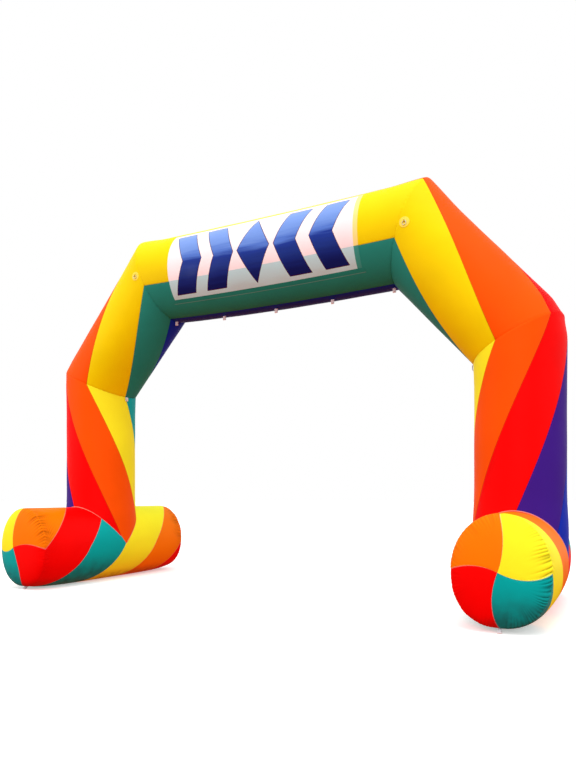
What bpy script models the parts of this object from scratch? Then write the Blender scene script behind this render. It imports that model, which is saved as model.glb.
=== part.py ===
"""Inflatable event arch: striped air tubes on two bolster feet, with a banner on the beam.

Metres, +Z up. X runs across the arch and Y through it, and the front faces -Y. The origin is on
the ground, midway between the legs. Each air tube, foot, cap and fitting is a solid of its own, and
neighbours that are sewn together stand GAP apart.
"""

from math import acos, cos, pi, radians, sin

import bmesh
import bpy
import numpy as np
from mathutils import Matrix, Vector

# Driving dimensions
LEG_X = 3.167  # from the middle of the arch to a leg's axis
SHOULDER_X = 1.923  # to the corner between haunch and beam
FOOT_Z = 0.550  # height of a foot's axis
ELBOW_Z = 3.022  # corner between leg and haunch
SHOULDER_Z = 4.428
BEAM_SAG = 0.026  # the beam's middle hangs this much lower than its ends
OVAL = 1.12  # the tubes stand this much taller than they are deep

LEG_R = 0.500
LEG_FLARE = 0.012  # a leg widens this much where it meets its foot
LEG_FLARE_HEIGHT = 0.45
ELBOW_R = 0.5105
ELBOW_PEAK = -0.07  # the elbow's outer tip is rounded off by this share of its reach
SHOULDER_R = 0.5285
SHOULDER_PEAK = 0.05  # and the shoulder's outer tip stands out
BEAM_R = 0.536
BEAM_SPANS = 8

FOOT_HALF_LENGTH = 1.325
FOOT_HALF_WIDTH = 0.5175
FOOT_HALF_HEIGHT = 0.556  # more than FOOT_Z, so the ground presses the underside flat
CAP_SEAM_HALF_WIDTH = 0.464
CAP_SEAM_LIFT = 0.044  # the cap seams draw the underside up by this much
BELLY = 2.3  # exponent of the lower half's section: above 2 it sags outwards
CAP_DEPTH = 0.144

GAP = 0.0003  # between sewn neighbours
SIDES = 48  # flats round a tube
STEP = 360 / SIDES

BANNER_HALF_LENGTH = 1.405
BANNER_TOP, BANNER_BOTTOM = 37.5, 135.0  # degrees round the beam, from its top towards the front
STRIP_HALF_LENGTH = 1.440
STRIP_TOP, STRIP_BOTTOM = 136.5, 141.5
SHEET_THICKNESS = 0.0015
SHEET_LIFT = 0.0006

TIE_SPACING = 0.84
LOOP_THICKNESS = 0.003
LOOP_WIDTH = 0.020
LOOP_HEIGHT = 0.060
LOOP_LENGTH = 0.038  # the webbing's own width

PATCH_R = 0.060
PATCH_THICKNESS = 0.004
PATCH_INSET = 0.085  # from the shoulder corner, down the haunch
RING_R = 0.024
RING_WIRE_R = 0.003
STRAP_LENGTH = 0.020
STRAP_RISE = 0.012  # from the patch's middle up to the strap
STRAP_WALL = 0.002
STRAP_SUNK = 0.001  # the strap is stitched this far into the patch
TUNNEL_SLACK = 0.004  # room for the ring's wire

YELLOW = (0.93, 0.72, 0.01)
ORANGE = (0.95, 0.12, 0.01)
TEAL = (0.01, 0.30, 0.27)
RED = (0.85, 0.01, 0.01)
BLUE = (0.01, 0.03, 0.45)
WHITE = (0.80, 0.83, 0.90)
STEEL = (0.55, 0.55, 0.56)

ACROSS = Vector((0, 1, 0))
UP = Vector((0, 0, 1))


class Section:
    """One closed section of an air tube: its centre, its outer half axis and its depth along Y.

    A peak above 0 lengthens the outer half axis by that share, fading out towards the sides.
    """

    def __init__(self, centre, outer, depth, peak=0.0):
        self.centre, self.outer, self.depth = Vector(centre), Vector(outer), depth
        self.peak = peak

    def point(self, degrees, shift=Vector()):
        """A point on the section. 0 is the arch's outer side, 90 its front and 180 its inner side."""
        turn = radians(degrees)
        reach = cos(turn) * (1 + self.peak * max(0, cos(turn)) ** 2)
        return self.centre + self.outer * reach - ACROSS * self.depth * sin(turn) + shift

    def ring(self, shift=Vector()):
        """The section's points, all the way round."""
        return [self.point(STEP * i, shift) for i in range(SIDES)]


def haunch_run():
    """The haunch's direction from elbow to shoulder, on the right."""
    return Vector((SHOULDER_X - LEG_X, 0, SHOULDER_Z - ELBOW_Z)).normalized()


def mitre(centre, below, above, radius, peak):
    """The section on the plane that halves the corner between two tubes of one radius.

    The corner is worked out as if the tubes were round, and then drawn out in height by OVAL.
    """
    round_below = Vector((below.x, 0, below.z / OVAL)).normalized()
    round_above = Vector((above.x, 0, above.z / OVAL)).normalized()
    middle = (round_below + round_above).normalized()
    reach = radius / middle.dot(round_below)
    return Section(centre, (middle.z * reach, 0, -middle.x * reach * OVAL), radius, peak)


def elbow(peak=ELBOW_PEAK):
    """The corner between leg and haunch, on the right."""
    return mitre((LEG_X, 0, ELBOW_Z), UP, haunch_run(), ELBOW_R, peak)


def shoulder(peak=SHOULDER_PEAK):
    """The corner between haunch and beam, on the right."""
    start, end = haunch_run(), Vector((-1, 0, 0))
    return mitre((SHOULDER_X, 0, SHOULDER_Z), start, end, SHOULDER_R, peak)


def beam_section(x):
    """The beam's upright section at x: it sags and swells towards the middle."""
    outwards = (x / SHOULDER_X) ** 2
    radius = BEAM_R - (BEAM_R - SHOULDER_R) * outwards
    height = SHOULDER_Z - BEAM_SAG * (1 - outwards)
    return Section((x, 0, height), (0, 0, radius * OVAL), radius)


def beam_stations():
    """The beam's upright sections between its two mitres, from right to left."""
    return [beam_section(SHOULDER_X * (1 - 2 * k / BEAM_SPANS)) for k in range(1, BEAM_SPANS)]


def beam_underside(x):
    """The height of the beam's lowest line at x, which runs straight from station to station."""
    lows = [shoulder().point(180)] + [section.point(180) for section in beam_stations()]
    return float(np.interp(-abs(x), [-low.x for low in lows], [low.z for low in lows]))


def leg_section(z):
    """A leg's level section at height z, on the right."""
    above = max(0, 1 - (z - FOOT_Z) / LEG_FLARE_HEIGHT)
    radius = LEG_R + LEG_FLARE * min(1, above) ** 2
    return Section((LEG_X, 0, z), (radius, 0, 0), radius)


def foot_ring(y, half_width, lift, inwards=1.0, grow=0.0):
    """A foot's section at y: a full lower half, pressed flat on the ground.

    lift raises its underside, inwards shrinks it towards its axis and grow fattens it all round.
    """
    ring = []
    half_height = (FOOT_HALF_HEIGHT - lift / 2) * inwards + grow
    half_width = half_width * inwards + grow
    for i in range(SIDES):
        turn = 2 * pi * i / SIDES
        power = 1 if i <= SIDES // 2 else 2 / BELLY
        side = abs(cos(turn)) ** power * (1 if cos(turn) > 0 else -1)
        rise = abs(sin(turn)) ** power * (1 if sin(turn) > 0 else -1)
        height = FOOT_Z + lift / 2 + half_height * rise
        ring.append(Vector((half_width * side, y, max(height, -grow))))
    return ring


def barrel_ring(share, grow=0.0):
    """The foot barrel's section at a share of its half length, fullest in the middle."""
    half_width = FOOT_HALF_WIDTH - (FOOT_HALF_WIDTH - CAP_SEAM_HALF_WIDTH) * share**2
    return foot_ring(share * FOOT_HALF_LENGTH, half_width, CAP_SEAM_LIFT * share**6, 1.0, grow)


def cap_ring(turn):
    """A front cap's section, where turn goes from 0 at the seam to 90 degrees at the crown."""
    y = -FOOT_HALF_LENGTH - GAP - CAP_DEPTH * sin(radians(turn))
    return foot_ring(y, CAP_SEAM_HALF_WIDTH, CAP_SEAM_LIFT, cos(radians(turn)))


def material(name, colour, roughness, metallic=0.0):
    """A plain Principled material."""
    made = bpy.data.materials.new(name)
    made.use_nodes = True
    shader = made.node_tree.nodes["Principled BSDF"]
    shader.inputs["Base Color"].default_value = (*colour, 1)
    shader.inputs["Roughness"].default_value = roughness
    shader.inputs["Metallic"].default_value = metallic
    return made


def finish_object(obj, colour, roughness=0.4, metallic=0.0):
    """Gives an object its own material and smooth shading, and files it with the arch."""
    for owner in list(obj.users_collection):
        owner.objects.unlink(obj)
    bpy.data.collections["inflatable_arch"].objects.link(obj)
    obj.data.materials.clear()
    obj.data.materials.append(material(obj.name + "_finish", colour, roughness, metallic))
    if obj.type == "MESH":
        obj.data.shade_smooth()
        obj.data.set_sharp_from_angle(angle=radians(35))
    return obj


def loft(name, rings, crown=None):
    """A closed solid through rings of equal count, with flat ends, or a fan to a crown at the last."""
    mesh = bpy.data.meshes.new(name)
    shape = bmesh.new()
    loops = [[shape.verts.new(point) for point in ring] for ring in rings]
    count = len(rings[0])
    for low, high in zip(loops, loops[1:]):
        for i in range(count):
            after = (i + 1) % count
            shape.faces.new((low[i], low[after], high[after], high[i]))
    shape.faces.new(loops[0])
    if crown is None:
        shape.faces.new(loops[-1])
    else:
        tip = shape.verts.new(crown)
        for i in range(count):
            shape.faces.new((loops[-1][i], loops[-1][(i + 1) % count], tip))
    bmesh.ops.recalc_face_normals(shape, faces=shape.faces)
    shape.to_mesh(mesh)
    shape.free()
    obj = bpy.data.objects.new(name, mesh)
    bpy.context.scene.collection.objects.link(obj)
    return obj


def mirrored(rings, side):
    """The right side's rings, or their mirror image on the left."""
    return [[Vector((side * point.x, point.y, point.z)) for point in ring] for ring in rings]


def between(low, high, share):
    """A ring part of the way from one ring to another."""
    return [a.lerp(b, share) for a, b in zip(low, high)]


def build_beam():
    """The beam, mitred at both ends."""
    seam = Vector((-GAP, 0, 0))
    right = shoulder().ring(seam)
    left = mirrored([right], -1)[0]
    middles = [section.ring() for section in beam_stations()]
    finish_object(loft("beam", [right, *middles, left]), YELLOW)


def build_haunch(side, word):
    """A haunch, from elbow to shoulder."""
    low = elbow().ring(haunch_run() * GAP)
    high = shoulder().ring(haunch_run() * -GAP)
    sharp_low, sharp_high = elbow(0).ring(), shoulder(0).ring()
    middles = [between(sharp_low, sharp_high, share) for share in (0.1, 0.4, 0.75)]
    rings = [low, *middles, high]
    finish_object(loft("haunch_" + word, mirrored(rings, side)), ORANGE)


def build_leg(side, word):
    """A leg, whose lower end is cut to sit astride its foot."""
    heights = (FOOT_Z + 0.02, FOOT_Z + 0.15, FOOT_Z + 0.30, FOOT_Z + LEG_FLARE_HEIGHT)
    rings = [leg_section(z).ring() for z in (*heights, (FOOT_Z + ELBOW_Z) / 2, ELBOW_Z - LEG_R)]
    rings.append(between(elbow(0).ring(), rings[-1], 0.3))
    rings.append(elbow().ring(UP * -GAP))
    leg = loft("leg_" + word, mirrored(rings, side))
    shares = (-0.7, -0.35, 0, 0.35, 0.7)
    cutter = loft("foot_cutter_" + word, [barrel_ring(share, 2 * GAP) for share in shares])
    cutter.location.x = side * LEG_X
    cutter.hide_render = True
    cutter.display_type = "WIRE"
    bpy.context.scene.collection.objects.unlink(cutter)
    bpy.data.collections["cutters"].objects.link(cutter)
    saddle = leg.modifiers.new("saddle", "BOOLEAN")
    saddle.operation = "DIFFERENCE"
    saddle.object = cutter
    finish_object(leg, RED)


def build_foot(side, word):
    """A foot's barrel and its two domed caps, all placed by the foot's empty."""
    foot = bpy.data.objects.new("foot_place_" + word, None)
    foot.location.x = side * LEG_X
    bpy.data.collections["inflatable_arch"].objects.link(foot)
    shares = (-1, -0.93, -0.7, -0.35, 0, 0.35, 0.7, 0.93, 1)
    barrel = loft("foot_" + word, [barrel_ring(share) for share in shares])
    finish_object(barrel, ORANGE).parent = foot
    crown = Vector((0, -FOOT_HALF_LENGTH - GAP - CAP_DEPTH, FOOT_Z + CAP_SEAM_LIFT / 2))
    for end, turned in (("front", 0), ("back", pi)):
        rings = [cap_ring(turn) for turn in (0, 16, 32, 48, 64, 78)]
        cap = loft(f"foot_{word}_{end}_cap", rings, crown)
        cap.rotation_euler.z = turned
        finish_object(cap, TEAL).parent = foot


def on_beam(x, degrees, lift):
    """A point at x on the beam's flats, lifted off them."""
    section = beam_section(x)
    flat = int(degrees // STEP)
    start, end = section.point(STEP * flat), section.point(STEP * (flat + 1))
    place = start.lerp(end, (degrees - STEP * flat) / STEP)
    turn = radians(degrees)
    outwards = Vector((0, -sin(turn) * OVAL, cos(turn))).normalized()
    return place + outwards * lift


def build_sheet(name, half_length, top, bottom, colour, roughness):
    """A thin sheet that follows the beam's front from one angle to another."""
    spans = 6
    turns = [top] + [STEP * i for i in range(SIDES) if top < STEP * i < bottom] + [bottom]
    rings = []
    for k in range(spans + 1):
        x = half_length * (2 * k / spans - 1)
        inner = [on_beam(x, turn, SHEET_LIFT) for turn in turns]
        outer = [on_beam(x, turn, SHEET_LIFT + SHEET_THICKNESS) for turn in reversed(turns)]
        rings.append(inner + outer)
    finish_object(loft(name, rings), colour, roughness)


def stadium(width, height, steps=6):
    """The outline of a slot with round ends, standing on its lower end at the origin."""
    radius = width / 2
    outline = []
    for centre, first in ((height - radius, 0), (radius, pi)):
        for i in range(steps + 1):
            turn = first + pi * i / steps
            outline.append((radius * cos(turn), centre + radius * sin(turn)))
    return outline


def build_loop(name, top, turn, lean=0.0):
    """A loop of folded webbing that hangs from its top, its hole along X and then turned about Z."""
    curve = bpy.data.curves.new(name, "CURVE")
    curve.dimensions = "2D"
    curve.fill_mode = "BOTH"
    curve.extrude = LOOP_LENGTH / 2
    inset = 2 * LOOP_THICKNESS
    for width, height, base in (
        (LOOP_WIDTH, LOOP_HEIGHT, -LOOP_HEIGHT),
        (LOOP_WIDTH - inset, LOOP_HEIGHT - inset, LOOP_THICKNESS - LOOP_HEIGHT),
    ):
        outline = stadium(width, height)
        spline = curve.splines.new("POLY")
        spline.points.add(len(outline) - 1)
        for place, (x, y) in zip(spline.points, outline):
            place.co = (x, base + y, 0, 1)
        spline.use_cyclic_u = True
    loop = bpy.data.objects.new(name, curve)
    bpy.context.scene.collection.objects.link(loop)
    upright = Matrix.Rotation(pi / 2, 4, "Z") @ Matrix.Rotation(pi / 2, 4, "X")
    placed = Matrix.Rotation(turn, 4, "Z") @ Matrix.Rotation(lean, 4, "X")
    loop.matrix_world = Matrix.Translation(top) @ placed @ upright
    finish_object(loop, WHITE, 0.7)


def build_tie_loops():
    """Five loops under the beam and one inside each elbow."""
    for k in range(-2, 3):
        x = k * TIE_SPACING
        nearest = max(0, abs(x) - LOOP_LENGTH / 2)
        build_loop(f"tie_loop_{k + 3}", Vector((x, 0, beam_underside(nearest) - GAP)), 0)
    for side, number in ((-1, 6), (1, 7)):
        corner = elbow().point(180)
        clear = LOOP_WIDTH / 2 + GAP
        build_loop(f"tie_loop_{number}", Vector((side * (corner.x - clear), 0, corner.z)), pi / 2)


def build_ground_loop(side, word):
    """A loop for a ground peg, which leans forwards from under the cap seam to the ground."""
    seam_z = FOOT_Z - FOOT_HALF_HEIGHT + CAP_SEAM_LIFT
    drop = seam_z - GAP - LOOP_WIDTH
    lean = acos(drop / (LOOP_HEIGHT - LOOP_WIDTH))
    radius = LOOP_WIDTH / 2
    top_y = -FOOT_HALF_LENGTH - 2 * GAP + radius * sin(lean)
    top_z = seam_z - GAP - radius + radius * cos(lean)
    build_loop("ground_loop_" + word, Vector((side * LEG_X, top_y, top_z)), 0, -lean)


def add_box(name, size, place):
    """A box of a given size, centred on its place."""
    bpy.ops.mesh.primitive_cube_add(size=1, location=place)
    box = bpy.context.object
    box.name = name
    box.scale = size
    bpy.ops.object.transform_apply(location=False, rotation=False, scale=True)
    return box


def build_corner_patch(side, word):
    """A round patch on the haunch near the shoulder, with a strap that holds a steel ring."""
    corner = shoulder()
    centre = corner.centre - haunch_run() * PATCH_INSET
    face = -corner.depth - GAP
    front = face - PATCH_THICKNESS
    strap_z = centre.z + STRAP_RISE
    tunnel = 2 * RING_WIRE_R + TUNNEL_SLACK
    bpy.ops.mesh.primitive_cylinder_add(
        vertices=32,
        radius=PATCH_R,
        depth=PATCH_THICKNESS,
        location=(side * centre.x, face - PATCH_THICKNESS / 2, centre.z),
        rotation=(pi / 2, 0, 0),
    )
    patch = bpy.context.object
    patch.name = "corner_patch_" + word
    strap_size = (STRAP_LENGTH, tunnel + STRAP_WALL + STRAP_SUNK, tunnel + 2 * STRAP_WALL)
    strap_y = front + STRAP_SUNK - strap_size[1] / 2
    strap = add_box("strap_" + word, strap_size, (side * centre.x, strap_y, strap_z))
    hole_size = (2 * STRAP_LENGTH, tunnel, tunnel)
    hole = add_box("tunnel_" + word, hole_size, (side * centre.x, front - tunnel / 2, strap_z))
    for cutter, operation in ((strap, "UNION"), (hole, "DIFFERENCE")):
        cut = patch.modifiers.new(cutter.name, "BOOLEAN")
        cut.operation = operation
        cut.object = cutter
        cutter.hide_render = True
        cutter.display_type = "WIRE"
        for owner in list(cutter.users_collection):
            owner.objects.unlink(cutter)
        bpy.data.collections["cutters"].objects.link(cutter)
    finish_object(patch, YELLOW)
    ring_y = front - RING_WIRE_R - 2 * GAP
    ring_z = strap_z + tunnel / 2 - RING_WIRE_R - GAP - RING_R
    bpy.ops.mesh.primitive_torus_add(
        major_radius=RING_R,
        minor_radius=RING_WIRE_R,
        major_segments=24,
        minor_segments=8,
        location=(side * centre.x, ring_y, ring_z),
        rotation=(pi / 2, 0, 0),
    )
    ring = bpy.context.object
    ring.name = "corner_ring_" + word
    finish_object(ring, STEEL, 0.3, 1.0)


def main():
    """Clears the scene and builds the arch."""
    for obj in list(bpy.data.objects):
        bpy.data.objects.remove(obj)
    for name in ("inflatable_arch", "cutters"):
        bpy.context.scene.collection.children.link(bpy.data.collections.new(name))
    build_beam()
    for side, word in ((-1, "left"), (1, "right")):
        build_haunch(side, word)
        build_leg(side, word)
        build_foot(side, word)
        build_corner_patch(side, word)
        build_ground_loop(side, word)
    build_sheet("banner", BANNER_HALF_LENGTH, BANNER_TOP, BANNER_BOTTOM, WHITE, 0.15)
    build_sheet("banner_strip", STRIP_HALF_LENGTH, STRIP_TOP, STRIP_BOTTOM, TEAL, 0.5)
    build_tie_loops()


main()
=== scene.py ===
"""Looks of an inflatable event arch: six-colour air tubes, bolster feet, a glossy banner and webbing.

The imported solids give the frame, in metres, with +Z up, X across the arch and its front facing -Y.
Each air tube and foot is drawn again as the sewn skin that it really is, with its coloured gores,
its sunk seams and the gathers beside them. The left side mirrors the right one, apart from one seam
of its shoulder and the gathers of its foot.
"""

import logging
import math
from dataclasses import dataclass, field
from enum import Enum

import bmesh
import bpy
import numpy as np
from bpy.types import Material, Mesh, Object
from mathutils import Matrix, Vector


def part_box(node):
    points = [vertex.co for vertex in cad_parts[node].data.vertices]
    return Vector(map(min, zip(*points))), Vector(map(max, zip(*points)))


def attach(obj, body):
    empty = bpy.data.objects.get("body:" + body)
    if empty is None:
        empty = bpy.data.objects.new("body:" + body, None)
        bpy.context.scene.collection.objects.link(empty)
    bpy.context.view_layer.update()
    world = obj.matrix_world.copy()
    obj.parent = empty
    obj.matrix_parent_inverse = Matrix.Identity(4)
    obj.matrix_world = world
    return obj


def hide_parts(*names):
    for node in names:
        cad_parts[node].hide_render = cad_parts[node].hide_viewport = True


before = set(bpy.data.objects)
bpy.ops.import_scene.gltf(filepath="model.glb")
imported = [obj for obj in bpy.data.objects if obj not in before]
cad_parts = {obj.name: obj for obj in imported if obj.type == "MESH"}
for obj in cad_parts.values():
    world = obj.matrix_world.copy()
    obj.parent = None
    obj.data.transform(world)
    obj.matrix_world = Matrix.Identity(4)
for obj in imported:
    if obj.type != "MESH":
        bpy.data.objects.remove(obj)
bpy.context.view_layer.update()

BODY = "root"
SEWN_SHARE = 0.985  # where a gore's sewn edge starts, as a share of its width
LOG = logging.getLogger("inflatable_arch")
Array = np.ndarray  # most hold a number or a point for each row and column of a grid


# ---------------------------------------------------------------- colours and finishes


class Dye(Enum):
    """Colours of the cloth, as sRGB hex values."""

    YELLOW = "#F5DE00"
    TEAL = "#268E80"
    BLUE = "#0A2CB4"
    PURPLE = "#3C1A8C"
    RED = "#F60000"
    ORANGE = "#FC5800"
    # the yellow again, painted lighter as if more lit, for the legs and feet
    LIT_YELLOW = "#FFFA26"
    # the orange again, painted lighter as if more lit, for the feet
    LIT_ORANGE = "#FF7E00"
    SCARLET = "#FA0000"
    # the teal again, painted lighter as if more lit, for the legs and feet
    LIT_TEAL = "#00AEAC"
    PRIMROSE = "#FFEF60"
    BLUSH = "#EC9A88"


GORES = (Dye.YELLOW, Dye.TEAL, Dye.BLUE, Dye.PURPLE, Dye.RED, Dye.ORANGE)
LEG_DYES = (Dye.LIT_YELLOW, Dye.LIT_TEAL)  # the legs' yellow and teal, painted lighter as if more lit
FOOT_GORES = (Dye.LIT_YELLOW, Dye.LIT_TEAL, Dye.SCARLET, Dye.LIT_ORANGE)


def linear(code: str, shade: float = 1.0) -> tuple[float, float, float, float]:
    """Turns an sRGB hex colour into linear light.

    Args:
        code: The colour, as "#RRGGBB".
        shade: How much of its light is kept.

    Returns:
        Red, green, blue and an alpha of 1.
    """
    channels = [int(code[i : i + 2], 16) / 255 for i in (1, 3, 5)]
    light = [c / 12.92 if c <= 0.04045 else ((c + 0.055) / 1.055) ** 2.4 for c in channels]
    return (*(shade * value for value in light), 1.0)


class Graph:
    """The nodes of a material or a sky, each kept under a plain name."""

    def __init__(self, tree: bpy.types.NodeTree, shader: str) -> None:
        """Starts with the shader that is already there."""
        self.tree = tree
        self.nodes = {"shader": tree.nodes[shader]}

    def add(self, name: str, kind: str, inputs: dict | None = None, **settings) -> None:
        """Adds a node with its settings, values and links.

        Args:
            name: What it is called here.
            kind: Its type without "ShaderNode", or nothing for a node that is already there.
            inputs: Socket name or number to a value, a colour as "#RRGGBB", or the node that feeds
                it. That one is named as "split.X", or without its output if that is the first one.
            **settings: Properties of the node.
        """
        node = self.tree.nodes.new("ShaderNode" + kind) if kind else self.nodes[name]
        for key, value in settings.items():
            setattr(node, key, value)
        for key, value in (inputs or {}).items():
            if isinstance(value, str) and not value.startswith("#"):
                source, _, output = value.partition(".")
                feed = self.nodes[source].outputs[output if output.isalpha() else int(output or 0)]
                self.tree.links.new(feed, node.inputs[key])
            else:
                node.inputs[key].default_value = linear(value) if isinstance(value, str) else value
        self.nodes[name] = node


def new_material(name: str) -> tuple[Material, Graph]:
    """Makes an empty Principled material.

    Args:
        name: The material's name.

    Returns:
        The material and its nodes.
    """
    made = bpy.data.materials.new(name)
    made.use_nodes = True
    return made, Graph(made.node_tree, "Principled BSDF")


@dataclass(frozen=True)
class CoatedNylon:
    """210-denier oxford nylon with a polyurethane coat, dyed in the piece and sewn into gores.

    The coat is thin, so the dye stays deep and only a faint satin shine lies on it, and the plain weave
    under it breaks the light up a little.
    """

    dye: Dye
    shade: float = 1.0
    thread: float = 0.0  # how much pale thread shows, along a sewn edge
    roughness: float = 0.50
    thread_mm: float = 3.0  # real threads are 0.5 mm apart, too fine to show, so they are drawn wider
    crease_mm: float = 170.0  # soft creases left from when the arch lay folded in its bag
    gather_mm: float = 26.0  # gathers are about this far apart along a seam
    gather_depth: float = 0.006
    fold_shade: float = 0.50  # painted shade at a gather's bottom, where little light gets in
    dirt_and_shade_height: float = 0.20  # darker towards the ground, up to this height: some dirt, and painted shade low down

    def build(self) -> Material:
        """Makes the material.

        Returns:
            The material.
        """
        edge = "_sewn_edge" if self.shade < 1 or self.thread else ""
        made, graph = new_material(f"coated_nylon_{self.dye.name.lower()}{edge}")
        plain = linear(self.dye.value, self.shade)
        dye = tuple(part + (0.92 - part) * self.thread for part in plain[:3]) + (1.0,)
        dull, bright = self.roughness + 0.07, self.roughness - 0.05
        dirt_and_shade_ramp = {"Value": "height.Z", "From Max": self.dirt_and_shade_height, "To Min": 1.0, "To Max": 0.0}
        tones = {"From Min": 0.3, "From Max": 0.7, "To Min": 0.95, "To Max": 1.04}
        graph.add("places", "TexCoord")
        graph.add("fade", "TexNoise", {"Vector": "places.Object", "Scale": 1.7, "Detail": 3.0})
        graph.add("tone", "MapRange", {"Value": "fade", **tones})
        # the fold map darkens the colour in the gathers: painted shade in their bottoms
        graph.add("fold", "UVMap", uv_map="fold")
        graph.add("deep", "SeparateXYZ", {"Vector": "fold"})
        graph.add("shaded", "MapRange", {"Value": "deep.X", "To Min": 1.0, "To Max": 1 - self.fold_shade})
        graph.add("value", "Math", {0: "tone", 1: "shaded"}, operation="MULTIPLY")
        graph.add("dyed", "HueSaturation", {"Color": dye, "Value": "value"})
        # darker near the ground, in patches, towards a dark brown: some dirt, and painted shade low down
        graph.add("height", "SeparateXYZ", {"Vector": "places.Object"})
        graph.add("soiled", "MapRange", dirt_and_shade_ramp, interpolation_type="SMOOTHERSTEP")
        graph.add("patches", "TexNoise", {"Vector": "places.Object", "Scale": 9.0, "Detail": 5.0})
        graph.add("soil", "Math", {0: "soiled", 1: "patches"}, operation="MULTIPLY")
        graph.add("dusty", "Mix", {0: "soil", 6: "dyed", 7: "#1E1812"}, data_type="RGBA")
        graph.add("worn", "MapRange", {"Value": "patches", "To Min": bright, "To Max": dull})
        # the fine gathers that run away from each seam and fade out
        eased = {"interpolation_type": "SMOOTHSTEP"}
        graph.add("seam", "UVMap", uv_map="seam")
        graph.add("split", "SeparateXYZ", {"Vector": "seam"})
        graph.add("along", "Math", {0: "split.Y", 1: 1000 / self.gather_mm}, operation="MULTIPLY")
        graph.add("place", "CombineXYZ", {"X": "split.X", "Y": "along"})
        graph.add("waves", "TexNoise", {"Vector": "place", "Scale": 1.0, "Detail": 2.0})
        graph.add("ruffles", "MapRange", {"Value": "waves", "From Min": 0.40, "From Max": 0.56}, **eased)
        graph.add("fading", "MapRange", {"Value": "split.X", "To Min": 1.0, "To Max": 0.0}, **eased)
        graph.add("gathers", "Math", {0: "ruffles", 1: "fading"}, operation="MULTIPLY")
        # creases, and a plain weave of crossing threads
        fold = {"Vector": "places.UV", "Scale": 1000 / self.crease_mm, "Detail": 4.0, "Roughness": 0.55}
        yarn = {"Vector": "places.UV", "Scale": 1000 / self.thread_mm / 20, "Distortion": 0.4}
        graph.add("warp", "TexWave", yarn, bands_direction="X")
        graph.add("weft", "TexWave", yarn, bands_direction="Y")
        graph.add("weave", "Math", {0: "warp.Fac", 1: "weft.Fac"}, operation="MAXIMUM")
        graph.add("creases", "TexNoise", fold, noise_type="RIDGED_MULTIFRACTAL")
        sewn = {"Height": "gathers", "Strength": 0.6, "Distance": self.gather_depth}
        graph.add("low", "Bump", {"Height": "creases", "Strength": 0.16, "Distance": 0.010})
        graph.add("sewn", "Bump", {**sewn, "Normal": "low"})
        graph.add("fine", "Bump", {"Height": "weave", "Strength": 0.10, "Distance": 0.0006, "Normal": "sewn"})
        graph.add("shader", "", {"Base Color": "dusty.2", "Roughness": "worn", "Normal": "fine"})
        graph.add("shader", "", {"IOR": 1.48, "Specular IOR Level": 0.05})
        return made


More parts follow.
